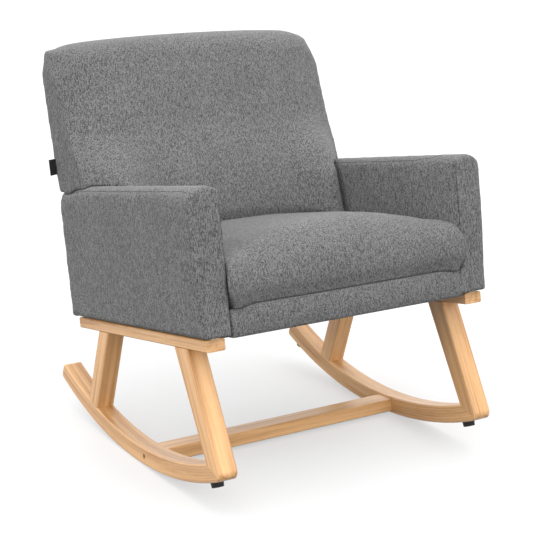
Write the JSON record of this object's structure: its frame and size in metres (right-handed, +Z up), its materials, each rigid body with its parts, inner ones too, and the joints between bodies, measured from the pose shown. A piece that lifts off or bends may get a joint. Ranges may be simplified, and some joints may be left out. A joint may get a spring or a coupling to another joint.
{
  "type": "rocking armchair",
  "caption": "Low upholstered armchair with square padded arms, a crowned seat cushion and a leaning back, on a light wooden frame with curved rockers.",
  "frame": {"origin": "middle of the line along which the two rockers touch the floor at rest", "axes": "+X to the right of someone who faces the chair's front, +Y to the rear, +Z up"},
  "size_m": [0.642, 0.7417, 0.7969],
  "materials": {
    "cover_fabric": "matte",
    "lining_fabric": "matte",
    "tab_fabric": "matte",
    "light_wood": "satin",
    "frame_wood": "matte",
    "zinc_steel": "satin",
    "black_steel": "satin",
    "stop_rubber": "matte"
  },
  "bodies": {
    "root": {"back_cushion": "cover_fabric", "front_border": "cover_fabric", "left_arm_padding": "cover_fabric", "outer_back": "cover_fabric", "right_arm_padding": "cover_fabric", "seat_cushion": "cover_fabric", "back_webbing": "lining_fabric", "deck_pad": "lining_fabric", "dust_cover": "lining_fabric", "side_tab": "tab_fabric", "left_front_leg": "light_wood", "left_rear_leg": "light_wood", "left_rocker": "light_wood", "left_seat_rail": "light_wood", "right_front_leg": "light_wood", "right_rear_leg": "light_wood", "right_rocker": "light_wood", "right_seat_rail": "light_wood", "stretcher": "light_wood", "back_lower_rail": "frame_wood", "back_top_rail": "frame_wood", "corner_blocks": "frame_wood", "left_arm_panel": "frame_wood", "left_back_post": "frame_wood", "left_back_wing": "frame_wood", "left_seat_side_rail": "frame_wood", "leg_tenons": "frame_wood", "right_arm_panel": "frame_wood", "right_back_post": "frame_wood", "right_back_wing": "frame_wood", "right_seat_side_rail": "frame_wood", "seat_front_rail": "frame_wood", "seat_rear_rail": "frame_wood", "arm_bolts": "zinc_steel", "back_bolts": "zinc_steel", "seat_side_bolts": "zinc_steel", "seat_springs": "zinc_steel", "spring_clips": "zinc_steel", "stretcher_nuts": "zinc_steel", "stretcher_bolts": "black_steel", "rubber_stops": "stop_rubber"}
  },
  "joints": []
}
